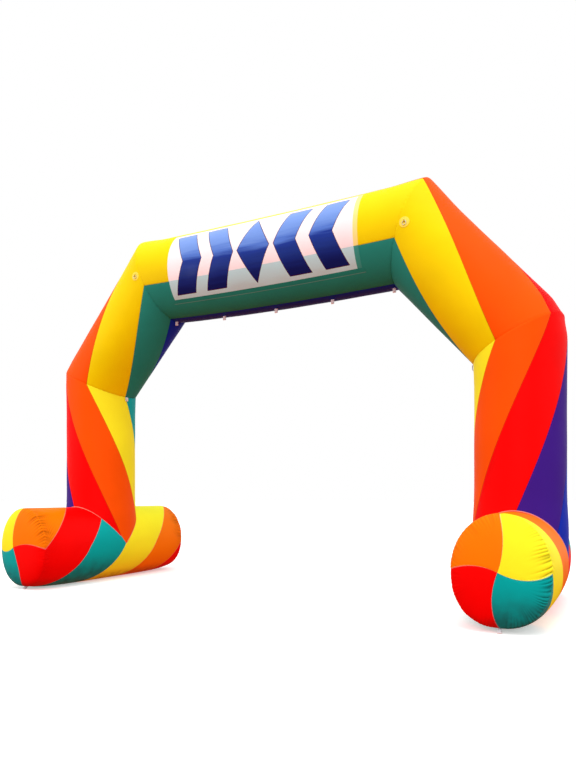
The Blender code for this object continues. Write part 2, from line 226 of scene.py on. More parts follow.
@dataclass(frozen=True)
class PrintedVinyl:
    """Clear PVC film with a screen print on it, glossy and a little wavy.

    The clear film lets the cloth behind it tint the unprinted ground: pinkish white over yellow, and
    pale green over teal. The print is a bold row of arrowheads round a diamond, in a blue ink that is
    painted lighter at the top and darker below, as a reflection of the sky above and the ground below.
    """

    length: float = 2.81
    height: float = math.radians(135 - 37.5) * 0.561  # as the banner's, round the beam
    print_left: float = 0.005  # clear margins, in metres
    print_right: float = 0.058
    print_top: float = 0.03
    seam_share: float = 0.74  # where the cloth behind changes colour, as a share of the height
    reach: float = 0.40  # half a motif's height
    stroke: float = 0.30  # an arrowhead's width along the film
    pitch: float = 0.50
    first: float = 0.045  # how much closer to the diamond both arrowheads stand than their pitch
    slant: float = 0.44
    wide: float = 0.235  # half the diamond's width
    outline: float = 0.008
    inks_and_reflection: tuple = (  # the blue ink, sky blue at the top to navy below: a painted reflection of the sky and the ground
        *((0.0, "#8AACEE"), (0.50, "#6E96E2"), (0.60, "#4F78D2"), (0.66, "#16369A"), (1.0, "#001862")),
    )

    def build(self) -> Material:
        """Makes the material.

        Returns:
            The material.
        """
        made, graph = new_material("printed_pvc_film")
        graph.add("places", "TexCoord")
        graph.add("split", "SeparateXYZ", {"Vector": "places.UV"})
        graph.add("stretched", "Mapping", {"Vector": "places.UV", "Scale": (1.0, 15.0, 1.0)})
        graph.add("ripple", "TexNoise", {"Vector": "stretched", "Scale": 1.0, "Detail": 3.0})
        self.drawing(graph)
        # the ink's blue with a painted reflection: light where the sky would show in the film, dark below
        graph.add("ink", "ValToRGB", {"Fac": "fade"})
        inks_and_reflection = graph.nodes["ink"].color_ramp.elements
        for element, (place, code) in zip(inks_and_reflection, (self.inks_and_reflection[0], self.inks_and_reflection[-1])):
            element.position, element.color = place, linear(code)
        for place, code in self.inks_and_reflection[1:-1]:
            inks_and_reflection.new(place).color = linear(code)
        for name, share, low, high in (
            ("film", "behind", "#FCEB90", "#3C9C90"),
            ("ground", "behind", "#FFF8FB", "#BEECF2"),
            ("bordered", "outlined", "ground.2", "#4A1838"),
            ("printed", "inside", "bordered.2", "ink"),
            ("whole", "panel", "film.2", "printed.2"),
        ):
            graph.add(name, "Mix", {0: share, 6: low, 7: high}, data_type="RGBA")
        graph.add("waves", "TexNoise", {"Vector": "places.UV", "Scale": 5.0, "Detail": 2.0})
        graph.add("bump", "Bump", {"Height": "waves", "Strength": 0.25, "Distance": 0.006})
        graph.add("shader", "", {"Base Color": "whole.2", "Normal": "bump", "Coat Normal": "bump"})
        graph.add("shader", "", {"Roughness": 0.30, "IOR": 1.53, "Specular IOR Level": 0.10})
        graph.add("shader", "", {"Coat Weight": 0.05, "Coat Roughness": 0.08})
        return made

    def drawing(self, graph: Graph) -> None:
        """Works out the print: two arrowheads each way from a diamond in the middle.

        Each step names its result, then its operation, then its inputs. In the end "panel" is 1 inside
        the clear margins, "behind" is 1 over the lower cloth, "inside" and "outlined" are 1 in a motif
        and in its outline, and "fade" is the place on the ramp of the ink and its painted reflection.

        Args:
            graph: The material's nodes, with the distances along the film and down it as "split".
        """
        middle_x = (self.print_left + self.length - self.print_right) / 2
        middle_y = self.print_top + (self.height - self.print_top) * 0.50
        steep = self.wide / self.reach
        steps = [
            # the painted reflection's edge wavers with the film's ripple
            ("wavy", "MULTIPLY_ADD", "ripple", 0.24, "split.Y"),
            ("fade", "DIVIDE", "wavy", self.height),
            ("behind", "GREATER_THAN", "split.Y", self.seam_share * self.height),
            ("left", "GREATER_THAN", "split.X", self.print_left),
            ("right", "LESS_THAN", "split.X", self.length - self.print_right),
            ("top", "GREATER_THAN", "split.Y", self.print_top),
            ("sides", "MULTIPLY", "left", "right"),
            ("panel", "MULTIPLY", "sides", "top"),
            ("from_x", "SUBTRACT", "split.X", middle_x),
            ("across", "ABSOLUTE", "from_x"),
            ("from_y", "SUBTRACT", "split.Y", middle_y),
            ("up", "ABSOLUTE", "from_y"),
            ("over", "SUBTRACT", "up", self.reach),
            ("lean", "MULTIPLY", "up", self.slant),
            ("slanted", "SUBTRACT", "across", "lean"),
            ("narrowed", "SUBTRACT", "across", self.wide),
            ("diamond", "MULTIPLY_ADD", "up", steep, "narrowed"),
            ("marks", "DIVIDE", "diamond", math.hypot(1, steep)),
        ]
        for number in (1, 2):
            steps += [
                ("off", "SUBTRACT", "slanted", self.pitch * number - self.first),
                ("aside", "ABSOLUTE", "off"),
                ("past", "SUBTRACT", "aside", self.stroke / 2),
                ("edge", "DIVIDE", "past", math.hypot(1, self.slant)),
                ("arrow", "MAXIMUM", "edge", "over"),
                ("marks", "MINIMUM", "marks", "arrow"),
            ]
        steps += [("inside", "LESS_THAN", "marks", 0.0), ("outlined", "LESS_THAN", "marks", self.outline)]
        for name, operation, *values in steps:
            graph.add(name, "Math", dict(enumerate(values)), operation=operation)


@dataclass(frozen=True)
class PolyesterWebbing:
    """Woven polyester webbing: matt, with ribs across its width and a soft edge."""

    code: str = "#F4F6FC"
    rib_mm: float = 4.0  # real ribs are 1.2 mm apart, too fine to show, so they are drawn wider

    def build(self) -> Material:
        """Makes the material.

        Returns:
            The material.
        """
        made, graph = new_material("polyester_webbing")
        ribs = {"Vector": "places.Object", "Scale": 1000 / self.rib_mm / 20, "Distortion": 0.6}
        tint = {0: "grubby", 6: self.code, 7: linear(self.code, 0.7)}
        graph.add("places", "TexCoord")
        graph.add("ribs", "TexWave", ribs, bands_direction="Z")
        graph.add("bump", "Bump", {"Height": "ribs.Fac", "Strength": 0.5, "Distance": 0.001})
        graph.add("grubby", "TexNoise", {"Vector": "places.Object", "Scale": 60.0})
        graph.add("tint", "Mix", tint, data_type="RGBA")
        graph.add("shader", "", {"Base Color": "tint.2", "Normal": "bump"})
        graph.add("shader", "", {"Roughness": 0.85, "Sheen Weight": 0.3})
        return made


@dataclass(frozen=True)
class PlatedWire:
    """Zinc-plated steel wire, bent and welded: bright, with fine drawing marks."""

    def build(self) -> Material:
        """Makes the material.

        Returns:
            The material.
        """
        made, graph = new_material("plated_steel_wire")
        graph.add("places", "TexCoord")
        graph.add("marks", "TexNoise", {"Vector": "places.Object", "Scale": 320.0, "Detail": 3.0})
        graph.add("rough", "MapRange", {"Value": "marks", "To Min": 0.16, "To Max": 0.34})
        graph.add("shader", "", {"Base Color": "#C9CBD0", "Metallic": 1.0, "Roughness": "rough"})
        return made


# ---------------------------------------------------------------- sections and skins


def column(values: Array) -> Array:
    """Adds an axis, so that numbers can scale points."""
    return values[..., None]


def smooth(values: Array) -> Array:
    """Eases values between 0 and 1 in and out."""
    held = np.clip(values, 0, 1)
    return held * held * (3 - 2 * held)


@dataclass(frozen=True)
class Ring:
    """A closed section of a tube: its centre, its outer half axis and its depth along Y.

    A peak above 0 lengthens the outer half axis by that share, fading out towards the sides.
    """

    centre: tuple[float, float, float]
    outer: tuple[float, float, float]
    depth: float
    peak: float = 0.0

    def points(self, degrees: Array) -> Array:
        """Places on the plain section. 0 is the arch's outer side, 90 its front and 180 its inside.

        Args:
            degrees: Turns round the section.

        Returns:
            The points.
        """
        turn = np.radians(degrees)
        across = column(np.sin(turn)) * np.array([0, self.depth, 0])
        return np.array(self.centre) + column(np.cos(turn)) * np.array(self.outer) - across

    def tip(self, degrees: Array) -> Array:
        """How far the peak moves each place on the section."""
        outwards = np.maximum(0, np.cos(np.radians(degrees)))
        return column(self.peak * outwards**3) * np.array(self.outer)


@dataclass(frozen=True)
class ArchForm:
    """The arch's driving sizes, in metres, for its right side."""

    leg_x: float = 3.167
    shoulder_x: float = 1.923
    foot_z: float = 0.550
    elbow_z: float = 3.022
    shoulder_z: float = 4.428
    beam_sag: float = 0.026
    oval: float = 1.12
    leg_radius: float = 0.500
    leg_flare: float = 0.0178
    elbow_radius: float = 0.5105
    elbow_peak: float = -0.07
    shoulder_radius: float = 0.5285
    shoulder_peak: float = 0.05
    beam_radius: float = 0.536
    gap: float = 0.0003

    def haunch_run(self) -> Array:
        """The haunch's direction, from elbow to shoulder."""
        run = np.array([self.shoulder_x - self.leg_x, 0, self.shoulder_z - self.elbow_z])
        return run / np.linalg.norm(run)

    def mitre(self, centre: tuple, below: Array, above: Array, radius: float, peak: float) -> Ring:
        """The section where two tubes meet, on the plane that halves their corner.

        Args:
            centre: The corner of the two axes.
            below: Direction of the lower tube.
            above: Direction of the upper tube.
            radius: The tubes' radius at the corner.
            peak: Share by which the outer tip stands out.

        Returns:
            The shared section.
        """
        squashed = [np.array([run[0], run[2] / self.oval]) for run in (below, above)]
        units = [run / np.linalg.norm(run) for run in squashed]
        middle = sum(units) / np.linalg.norm(sum(units))
        reach = radius / (middle @ units[0])
        outer = (middle[1] * reach, 0.0, -middle[0] * reach * self.oval)
        return Ring(centre, outer, radius, peak)

    def elbow(self) -> Ring:
        """The section between leg and haunch."""
        centre, upright = (self.leg_x, 0, self.elbow_z), np.array([0, 0, 1.0])
        return self.mitre(centre, upright, self.haunch_run(), self.elbow_radius, self.elbow_peak)

    def shoulder(self) -> Ring:
        """The section between haunch and beam."""
        centre, inwards = (self.shoulder_x, 0, self.shoulder_z), np.array([-1.0, 0, 0])
        return self.mitre(centre, self.haunch_run(), inwards, self.shoulder_radius, self.shoulder_peak)


FORM = ArchForm()


# where the six long seams cross each corner, in degrees round the tube, from the one that opens the
# yellow gore to the one that closes the orange one
BASE_TURNS = (242, 302, 360, 410, 473, 535)
ELBOW_TURNS = (112, 178, 238, 292, 345, 402)
RIGHT_TURNS = (30, 110, 169, 218, 266, 312)
LEFT_TURNS = (21, 110, 169, 218, 266, 312)  # the left shoulder's first seam lies further back


# ---------------------------------------------------------------- work by hand


def pick(*parts: Object) -> None:
    """Makes these objects the only selected ones, and the first one active.

    Args:
        *parts: The objects.
    """
    bpy.ops.object.select_all(action="DESELECT")
    for part in parts:
        part.select_set(True)
    bpy.context.view_layer.objects.active = parts[0]


def mode(name: str) -> None:
    """Changes to EDIT or OBJECT mode."""
    bpy.ops.object.mode_set(mode=name)


def face_out(obj: Object, weld: float = 0.0) -> None:
    """Turns a piece's faces outwards.

    Args:
        obj: The piece.
        weld: Points closer than this are merged first.
    """
    pick(obj)
    mode("EDIT")
    bpy.ops.mesh.select_all(action="SELECT")
    if weld:
        bpy.ops.mesh.remove_doubles(threshold=weld)
    bpy.ops.mesh.normals_make_consistent(inside=False)
    mode("OBJECT")


def freeze(obj: Object) -> None:
    """Puts an object's place into its mesh."""
    pick(obj)
    bpy.ops.object.transform_apply(location=True, rotation=True, scale=True)


def settle(obj: Object, sharp: float = 50.0) -> None:
    """Freezes an object, turns its faces outwards and shades it smooth.

    Args:
        obj: The piece.
        sharp: Edges steeper than this many degrees stay sharp.
    """
    freeze(obj)
    face_out(obj)
    bpy.ops.object.shade_smooth_by_angle(angle=math.radians(sharp))


def thicken(sheet: Object, thickness: float, way: int, bevel: float = 0.0, steep: float = 60.0) -> None:
    """Gives a sheet its thickness and rounds its edges.

    Args:
        sheet: The sheet.
        thickness: Its thickness, in metres.
        way: 1 to thicken it towards the front, and 0 to thicken it both ways.
        bevel: The width of its rounded edges.
        steep: The least angle of an edge that is rounded, in degrees.
    """
    front = 1 if sheet.data.polygons[0].normal.y < 0 else -1
    steps = [("SOLIDIFY", {"thickness": thickness, "offset": front * way})]
    if bevel:
        edges = {"limit_method": "ANGLE", "angle_limit": math.radians(steep)}
        steps.append(("BEVEL", {"width": bevel, "segments": 2, **edges}))
    pick(sheet)
    for kind, settings in steps:
        modifier = sheet.modifiers.new(kind.lower(), kind)
        for name, value in settings.items():
            setattr(modifier, name, value)
        bpy.ops.object.modifier_apply(modifier=modifier.name)


def read_points(mesh: Mesh) -> Array:
    """Reads a mesh's points.

    Args:
        mesh: The mesh.

    Returns:
        Their places.
    """
    places = np.zeros(3 * len(mesh.vertices))
    mesh.vertices.foreach_get("co", places)
    return places.reshape(-1, 3)


def set_points(mesh: Mesh, places: Array) -> None:
    """Moves a mesh's points."""
    mesh.vertices.foreach_set("co", places.ravel())
    mesh.update()


def read_corners(mesh: Mesh) -> Array:
    """Reads which point is at each corner of each face.

    Args:
        mesh: The mesh.

    Returns:
        The points' numbers.
    """
    corners = np.zeros(len(mesh.loops), int)
    mesh.loops.foreach_get("vertex_index", corners)
    return corners


def add_map(mesh: Mesh, name: str, values: Array) -> None:
    """Lays a map on a mesh, with its two numbers for each corner of each face."""
    layer = mesh.uv_layers.new(name=name)
    layer.data.foreach_set("uv", values.astype(np.float32).ravel())


def add_grid(columns: int, rows: int, *finishes: Material) -> tuple[Object, Array]:
    """Adds a flat grid.

    Args:
        columns: How many columns it has.
        rows: How many rows it has.
        *finishes: Its finishes.

    Returns:
        The grid, and its points, from -1 to 1 each way.
    """
    bpy.ops.object.select_all(action="DESELECT")
    bpy.ops.mesh.primitive_grid_add(x_subdivisions=columns, y_subdivisions=rows, size=2, calc_uvs=False)
    grid = bpy.context.object
    for finish in finishes:
        grid.data.materials.append(finish)
    return grid, read_points(grid.data)


def stitch(place: Array, size: tuple, thread: Material, turn: float = 0.0) -> Object:
    """Adds one stitch, a small flattened ball of thread.

    Args:
        place: Its middle.
        size: Its half sizes.
        thread: Its finish.
        turn: Its turn about Y.

    Returns:
        The stitch.
    """
    bpy.ops.mesh.primitive_uv_sphere_add(segments=8, ring_count=6, radius=1, location=place)
    made = bpy.context.object
    made.scale, made.rotation_euler.y = size, turn
    made.data.materials.append(thread)
    return made


def hand_over(obj: Object, slot: str, node: str) -> None:
    """Says which solid a piece replaces and which finish slot it takes, and lets it ride.

    Args:
        obj: The piece.
        slot: The record's material slot.
        node: The solid that it replaces.
    """
    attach(obj, BODY)
    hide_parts(node)
    LOG.info("%s: %d faces, slot %s, for %s", obj.name, len(obj.data.polygons), slot, node)


def outwards(grid: Array) -> Array:
    """Outward unit normals of a grid that closes on itself along its columns.

    Args:
        grid: Its places.

    Returns:
        A normal for each place.
    """
    around = np.roll(grid, -1, axis=1) - np.roll(grid, 1, axis=1)
    normals = np.cross(around, np.gradient(grid, axis=0))
    normals /= np.maximum(np.linalg.norm(normals, axis=2, keepdims=True), 1e-9)
    from_middle = grid - grid.mean(axis=1, keepdims=True)
    return normals if (from_middle * normals).sum() > 0 else -normals


def creases(phase: Array, seed: float) -> Array:
    """Irregular sharp creases, from 0 between them to 1 at their bottoms, that repeat after a full turn.

    Args:
        phase: Places round the piece, in degrees.
        seed: Shifts the creases, so that two pieces differ.

    Returns:
        The creases at each place.
    """
    turn = np.radians(phase)
    waves = ((47, 0.42, 1.0), (34, 0.36, 2.3), (61, 0.22, 0.4), (19, 0.20, 4.1))
    wave = sum(share * np.sin(count * turn + shift + seed * count) for count, share, shift in waves)
    return np.maximum(0, 1 - 1.7 * np.abs(wave)) ** 1.4


def once_round(values: Array, step: float = 0.0) -> Array:
    """Repeats a grid's first column after its last one, a step further on."""
    return np.concatenate([values, values[:, :1] + step], axis=1)


@dataclass
class Sleeve:
    """A closed tube of cloth: a cylinder cut into rows and columns, then laid on its form.

    Its places, turns (in degrees round it) and runs (in metres along it) stand by row and column. The
    distances from the nearest long seam and end seam are shares of their gathers' reach. From them come
    the cloth map, with places on the cloth, and the seam map, with the distance from the nearest seam
    and the way along it. The fold map holds how deep in a gather a place is, from 0 to 1.
    """

    name: str
    node: str
    slot: str
    grid: Array
    turns: Array
    runs: Array
    from_seam: Array
    from_end: Array
    paint: Array  # each face's finish
    finishes: list[Material]
    radius: float
    folds: Array | None = None
    ends: tuple = ()  # the middles of its two ends, where those of its end rows won't do
    column_of: Array = field(init=False)
    row_of: Array = field(init=False)

    def build(self) -> None:
        """Cuts a cylinder's upright edges into rows, lays it on the form and dresses it."""
        rows, columns = self.grid.shape[:2]
        bpy.ops.object.select_all(action="DESELECT")
        bpy.ops.mesh.primitive_cylinder_add(vertices=columns, end_fill_type="TRIFAN", calc_uvs=False)
        tube = bpy.context.object
        tube.name = tube.data.name = self.name
        mode("EDIT")
        bpy.ops.mesh.select_mode(type="EDGE")
        bpy.ops.mesh.select_all(action="DESELECT")
        shape = bmesh.from_edit_mesh(tube.data)
        for edge in shape.edges:
            edge.select_set(abs(edge.verts[0].co.z - edge.verts[1].co.z) > 1)
        bmesh.update_edit_mesh(tube.data)
        bpy.ops.mesh.subdivide(number_cuts=rows - 2)
        mode("OBJECT")
        self.lay(tube.data)
        self.dress(tube.data)
        settle(tube)
        hand_over(tube, self.slot, self.node)

    def lay(self, mesh: Mesh) -> None:
        """Moves each point of the cylinder to its place on the form.

        Args:
            mesh: The cylinder.
        """
        rows, columns = self.grid.shape[:2]
        places = read_points(mesh)
        turn = np.arctan2(places[:, 1], places[:, 0]) / (2 * np.pi)
        self.column_of = np.round(turn * columns).astype(int) % columns
        self.row_of = np.round((places[:, 2] + 1) / 2 * (rows - 1)).astype(int)
        laid = self.grid[self.row_of, self.column_of]
        middle = np.hypot(places[:, 0], places[:, 1]) < 0.5
        self.column_of[middle] = -1
        ends = self.ends or (self.grid[0].mean(axis=0), self.grid[-1].mean(axis=0))
        laid[middle & (self.row_of == 0)], laid[middle & (self.row_of > 0)] = ends
        set_points(mesh, laid)

    def maps(self) -> dict[str, Array]:
        """Works out the maps.

        Returns:
            The maps by name, with the first column repeated a full turn on.
        """
        turns, runs = once_round(self.turns, 360), once_round(self.runs)
        from_seam, from_end = once_round(self.from_seam), once_round(self.from_end)
        across = np.radians(turns) * self.radius
        way = np.where(from_end < from_seam, across, runs)
        pairs = {"cloth": (across, runs), "seam": (np.minimum(from_seam, from_end), way)}
        if self.folds is not None:
            pairs["fold"] = (once_round(self.folds),) * 2
        return {name: np.stack(pair, axis=-1) for name, pair in pairs.items()}

    def dress(self, mesh: Mesh) -> None:
        """Gives each face its finish, and lays the maps.

        Args:
            mesh: The laid cylinder.
        """
        columns = self.grid.shape[1]
        for finish in self.finishes:
            mesh.materials.append(finish)
        corner = read_corners(mesh)
        sides = np.zeros(len(mesh.polygons), int)
        mesh.polygons.foreach_get("loop_total", sides)
        face = np.repeat(np.arange(len(sides)), sides)
        at, row = self.column_of[corner], self.row_of[corner]
        highest = np.full(len(sides), -1)
        np.maximum.at(highest, face, at)
        lowest = np.full(len(sides), columns)
        np.minimum.at(lowest, face[at >= 0], at[at >= 0])
        wraps = highest - lowest > columns / 2
        first = np.where(wraps, highest, lowest)
        lowest_row = np.full(len(sides), len(self.grid))
        np.minimum.at(lowest_row, face, row)
        mesh.polygons.foreach_set("material_index", self.paint[lowest_row, first].astype(np.int32))
        at = np.where(wraps[face] & (at == 0), columns, at)
        at = np.where(at < 0, first[face], at)
        for name, values in self.maps().items():
            add_map(mesh, name, values[row, at])


# ---------------------------------------------------------------- gores, tubes and feet


def gore_shares(steps: int) -> Array:
    """Where a gore's columns stand across it, close together beside its seams."""
    half = np.concatenate([[0.0, 0.009, 0.020, 0.034], np.linspace(0.052, 0.5, steps)])
    return np.concatenate([half, 1 - half[-2:0:-1]])


def gore_columns(count: int, steps: int) -> tuple[Array, Array, Array]:
    """Sets out the columns of all gores.

    Args:
        count: How many gores there are.
        steps: How many columns stand in the open half of each.

    Returns:
        Each column's gore, its share across the gore, and its finish: the gore's or its sewn edge's.
    """
    shares = gore_shares(steps)
    gores, share = np.repeat(np.arange(count), len(shares)), np.tile(shares, count)
    sewn = (share < 1e-6) | (share > SEWN_SHARE)
    return gores, share, np.where(sewn, gores + count, gores)


def row_runs(length: float, spacing: float) -> Array:
    """Sets out a tube's rows, close together at its ends.

    Args:
        length: Its length.
        spacing: About how far apart the rows in its middle stand.

    Returns:
        The rows, as shares of its length.
    """
    near = np.array([0.0, 0.004, 0.009, 0.016, 0.026, 0.040, 0.058, 0.080, 0.108, 0.142])
    count = max(2, round((length - 2 * near[-1]) / spacing))
    middle = np.linspace(near[-1], length - near[-1], count + 1)[1:-1]
    return np.concatenate([near, middle, length - near[::-1]]) / length


@dataclass
class Tube:
    """One mitred air tube of six coloured gores.

    Its seams have their turns at its start and end. Each kind of tube lays its own lines between them,
    one straight line of the flat pattern for each column.
    """

    name: str
    finishes: list[Material]  # the gores' six, those of their sewn edges, and a leg's tape
    side: int = 1
    slot: str = ""
    start: tuple = ELBOW_TURNS
    end: tuple = RIGHT_TURNS
    welt: float = 0.0  # width of a pale tape that binds its lower edge, which then isn't drawn in
    radius: float = 0.53  # its rough radius, which turns degrees into distances on the cloth
    steps: int = 15
    seam_depth: float = 0.0035
    seam_reach: float = 0.011
    seam_gather: float = 0.028
    end_depth: float = 0.0035
    end_reach: float = 0.010
    gather: float = 0.0004
    gather_reach: float = 0.055
    row_spacing: float = 0.05
    uneven: float = 0.0016

    def build(self) -> None:
        """Models the tube's skin."""
        gores, share, finish = gore_columns(6, self.steps)
        start, end = (np.array([*seams, seams[0] + 360], float) for seams in (self.start, self.end))
        first, last = (seams[gores] + np.diff(seams)[gores] * share for seams in (start, end))
        grid, turns, runs = self.lines(first, last)
        from_seam = np.minimum(share, 1 - share) * np.radians(np.diff(end)[gores]) * self.radius
        from_seam = np.broadcast_to(from_seam, turns.shape)
        # the seams are sunk, the ends drawn in and gathered, and the cloth is softly uneven
        lift = -self.seam_depth * np.exp(-from_seam / self.seam_reach)
        lift = lift + self.uneven * np.sin(np.radians(2 * turns) + 5.1 * runs) * np.sin(3.3 * runs + 0.7)
        low, high = runs - runs[:1], runs[-1:] - runs
        for far, seed in ((low, 0.3), (high, 1.9))[self.welt > 0 :]:
            drawn = -self.end_depth * np.exp(-((far / self.end_reach) ** 1.3))
            tucks = creases(turns, seed) * np.exp(-((far / self.gather_reach) ** 2)) * smooth(far / 0.012)
            lift = lift + drawn - self.gather * tucks
        grid = grid + column(lift) * outwards(grid)
        grid[..., 0] *= self.side
        paint = np.where(low < self.welt, len(self.finishes) - 1, finish)
        shares = (from_seam / self.seam_gather, np.minimum(low, high) / self.gather_reach)
        names = (f"{self.name}_skin", self.name, self.slot)
        Sleeve(*names, grid, turns, runs, *shares, paint, self.finishes, self.radius).build()


@dataclass
class Beam(Tube):
    """The level tube on top, whose seams run nearly straight. It hangs very slightly in the middle."""

    slot: str = "beam_cloth"
    start: tuple = LEFT_TURNS
    tip_reach: float = 0.48  # how far each shoulder's peak reaches

    @staticmethod
    def surface(turns: Array, x: Array) -> Array:
        """Places on the beam's plain form.

        Args:
            turns: Turns round the beam.
            x: Places along it.

        Returns:
            The points.
        """
        share = np.minimum(1, np.abs(x) / FORM.shoulder_x) ** 2
        radius = FORM.beam_radius - (FORM.beam_radius - FORM.shoulder_radius) * share
        centre = FORM.shoulder_z - FORM.beam_sag * (1 - share)
        angle = np.radians(turns)
        return np.stack([x, -radius * np.sin(angle), centre + radius * FORM.oval * np.cos(angle)], axis=-1)

    def lines(self, first: Array, last: Array) -> tuple[Array, Array, Array]:
        """Lays the columns from the left shoulder to the right one.

        Args:
            first: Each column's turn at the start.
            last: Each column's turn at the end.

        Returns:
            The places, the turns and the runs along the tube, by row and column.
        """
        shoulder = FORM.shoulder()
        left, right = (shoulder.points(turns)[:, 0] - FORM.gap for turns in (first, last))
        shares = row_runs(2 * FORM.shoulder_x, self.row_spacing)[:, None]
        x = (left + right) * shares - left
        turns = first + (last - first) * shares
        fading = column(1 - smooth(np.minimum(left + x, right - x) / self.tip_reach))
        tips = shoulder.tip(turns) * fading
        tips = tips * np.stack([np.sign(x), np.ones_like(x), np.ones_like(x)], axis=-1)
        return self.surface(turns, x) + tips, turns, x + 2 * FORM.shoulder_x


@dataclass
class Haunch(Tube):
    """A slanting tube between an elbow and a shoulder."""

    slot: str = "haunch_cloth"
    elbow_reach: float = 0.12  # how far each corner's peak reaches, as a share of the tube's length
    shoulder_reach: float = 0.27

    def lines(self, first: Array, last: Array) -> tuple[Array, Array, Array]:
        """Lays the columns from the elbow to the shoulder.

        Args:
            first: Each column's turn at the start.
            last: Each column's turn at the end.

        Returns:
            The places, the turns and the runs along the tube, by row and column.
        """
        low, high, run = FORM.elbow(), FORM.shoulder(), FORM.haunch_run()
        start, end = low.points(first) @ run, high.points(last) @ run
        t = row_runs(float(np.mean(end - start)), self.row_spacing)[:, None]
        turns, runs = first + (last - first) * t, start + (end - start) * t
        near, far = low.points(turns), high.points(turns)
        share = (runs - near @ run) / ((far - near) @ run)
        grid = near + (far - near) * column(share)
        grid = grid + low.tip(turns) * column(1 - smooth(share / self.elbow_reach))
        grid = grid + high.tip(turns) * column(1 - smooth((1 - share) / self.shoulder_reach))
        return grid, turns, runs


@dataclass
class Leg(Tube):
    """An upright tube whose lower end is cut to sit astride its foot."""

    slot: str = "leg_cloth"
    start: tuple = BASE_TURNS
    end: tuple = ELBOW_TURNS
    welt: float = 0.006
    flare_top: float = 1.32
    flare_height: float = 0.48

    @staticmethod
    def level(turns: Array, radius: Array, z: Array) -> Array:
        """Places on a level circle round the leg's axis."""
        angle = np.radians(turns)
        return np.stack([FORM.leg_x + radius * np.cos(angle), -radius * np.sin(angle), z], axis=-1)

    def section(self, turns: Array, z: Array) -> Array:
        """Places on the leg at given heights.

        Args:
            turns: Turns round the leg.
            z: Heights.

        Returns:
            The points.
        """
        radius = FORM.leg_radius + FORM.leg_flare * smooth((self.flare_top - z) / self.flare_height)
        elbow, top = FORM.elbow(), FORM.elbow_z - FORM.leg_radius
        near, far = self.level(turns, FORM.leg_radius, np.full_like(z, top)), elbow.points(turns)
        share = (z - top) / (far[..., 2] - top)
        upper = near + (far - near) * column(share)
        upper = upper + elbow.tip(turns) * column(smooth((share - 0.6) / 0.4))
        return np.where(column(z > top), upper, self.level(turns, radius, z))

    def lines(self, first: Array, last: Array) -> tuple[Array, Array, Array]:
        """Lays the columns from the foot to the elbow, each cut off where it meets the foot.

        Args:
            first: Each column's turn at the start.
            last: Each column's turn at the end.

        Returns:
            The places, the turns and the runs along the tube, by row and column.
        """
        end = FORM.elbow().points(last)[:, 2]
        low, high = np.zeros_like(first), np.ones_like(first)
        for _ in range(40):
            middle = (low + high) / 2
            height = FORM.foot_z + (end - FORM.foot_z) * middle
            place = self.section(first + (last - first) * middle, height)
            under = height < FOOT.top(place[:, 0] - FORM.leg_x, place[:, 1]) + 2 * FORM.gap
            low, high = np.where(under, middle, low), np.where(under, high, middle)
        rows = row_runs(FORM.elbow_z - FORM.foot_z - 0.35, self.row_spacing)[:, None]
        t = high + (1 - high) * rows
        turns, runs = first + (last - first) * t, FORM.foot_z + (end - FORM.foot_z) * t
        return self.section(turns, runs), turns, runs


@dataclass
class FootForm:
    """A foot's sizes, in metres: a bolster that lies across the arch, full below and pressed flat."""

    half_length: float = 1.325
    half_width: float = 0.5175
    half_height: float = 0.556
    seam_half_width: float = 0.464
    seam_lift: float = 0.044
    belly: float = 2.3
    cap_depth: float = 0.144
    helix: float = 141.0  # degrees that the gores wind in the first metre
    slowing: float = 3.4

    def waist(self, share: Array) -> Array:
        """Half the barrel's width, at shares of the way from its middle to its ends."""
        return self.half_width - (self.half_width - self.seam_half_width) * share**2

    def wound(self, runs: Array | float) -> Array | float:
        """How far the gores have wound, in degrees, at a distance from the front seam."""
        return self.helix * runs - self.slowing * runs**2

    def top(self, x: Array, y: Array) -> Array:
        """Height of the barrel's upper half at places seen from above.

        Args:
            x: Places across it.
            y: Places along it.

        Returns:
            The heights.
        """
        share = y / self.half_length
        rise = np.sqrt(np.maximum(0, 1 - (x / self.waist(share)) ** 2))
        lift = self.seam_lift * share**6 / 2
        return FORM.foot_z + lift + (self.half_height - lift) * rise

    def ring(self, degrees: Array, y: Array, half_width: Array, lift: Array, inwards: Array) -> Array:
        """Places on the foot's section, about its own axis.

        Args:
            degrees: Turns round the foot: 0 is level and 90 its top.
            y: Places along it.
            half_width: Half its width there.
            lift: How far its underside is off the ground.
            inwards: 1 at full size and 0 at a cap's crown.

        Returns:
            The points, with X from the foot's own axis.
        """
        turn = np.radians(degrees)
        flat, rise = np.cos(turn), np.sin(turn)
        power = np.where(rise >= -1e-9, 1.0, 2 / self.belly)
        flat, rise = (np.sign(part) * np.abs(part) ** power for part in (flat, rise))
        height = FORM.foot_z + lift / 2 + (self.half_height - lift / 2) * inwards * rise
        return np.stack(np.broadcast_arrays(half_width * inwards * flat, y, np.maximum(height, 0)), axis=-1)


FOOT = FootForm()


